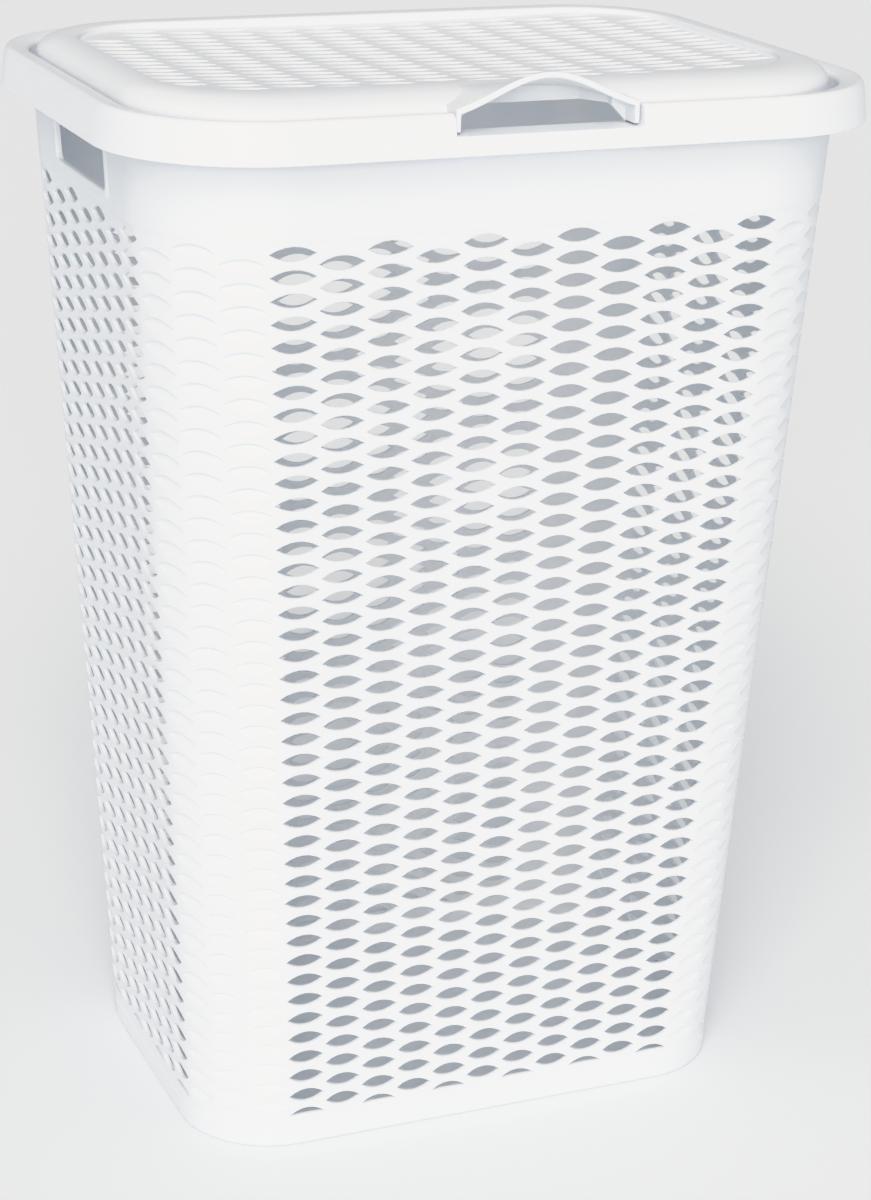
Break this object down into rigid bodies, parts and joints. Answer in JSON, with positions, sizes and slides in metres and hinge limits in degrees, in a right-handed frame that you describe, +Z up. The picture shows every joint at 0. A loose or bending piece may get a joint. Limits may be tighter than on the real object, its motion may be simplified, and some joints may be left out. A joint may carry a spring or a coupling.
{
  "type": "laundry hamper",
  "caption": "Tall tapered laundry hamper with perforated walls, side hand-holes, a clip-on rim frame and a hinged lid with an arched finger pull.",
  "frame": {"origin": "centre of the footprint, on the ground", "axes": "+X to the right as seen from the front, +Y to the back where the lid hinges, +Z up"},
  "size_m": [0.45, 0.346, 0.6308],
  "materials": {
    "basket_plastic": "white polypropylene, satin",
    "frame_plastic": "white polypropylene, satin gloss",
    "lid_plastic": "white polypropylene, satin gloss"
  },
  "bodies": {
    "hamper": {"basket_body": "basket_plastic", "rim_frame": "frame_plastic"},
    "lid": {"lid_panel": "lid_plastic"}
  },
  "joints": [
    {"name": "lid_hinge", "type": "hinge", "parent": "hamper", "child": "lid", "pos_m": [0, 0.163, 0.6065], "axis": [-1, 0, 0], "range_deg": [0, 105]}
  ]
}
